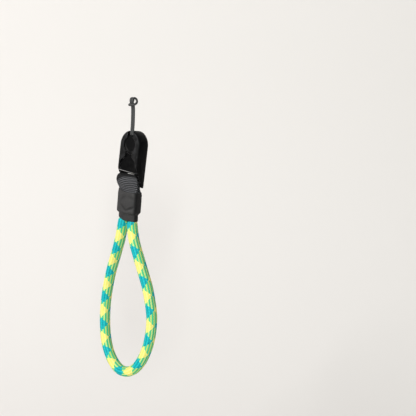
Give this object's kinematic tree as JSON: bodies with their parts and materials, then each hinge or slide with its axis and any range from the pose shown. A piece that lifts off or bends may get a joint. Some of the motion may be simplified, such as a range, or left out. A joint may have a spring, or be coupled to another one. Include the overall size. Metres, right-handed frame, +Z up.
{
  "type": "rope camera wrist strap",
  "caption": "Wrist strap for a camera: a braided rope loop in a rubber sleeve, on a quick-release link that takes a disc on a thin cord hitched to the camera's ring.",
  "frame": {"origin": "middle of the hole that the hitched thin cord leaves for the camera's strap ring", "axes": "+Z up along the hanging strap, the rope loop about in XZ, the link's open face to -Y"},
  "size_m": [0.0733, 0.0197, 0.2439],
  "materials": {
    "rope": "woven, teal and yellow",
    "sleeve": "matte",
    "webbing": "woven, ribbed",
    "housing": "fine moulded texture",
    "disc": "satin",
    "cord": "braided"
  },
  "bodies": {
    "root": {"rope_loop": "rope", "sleeve": "sleeve", "webbing_tab": "webbing", "link_housing": "housing", "anchor_disc": "disc", "anchor_cord": "cord"}
  },
  "joints": []
}
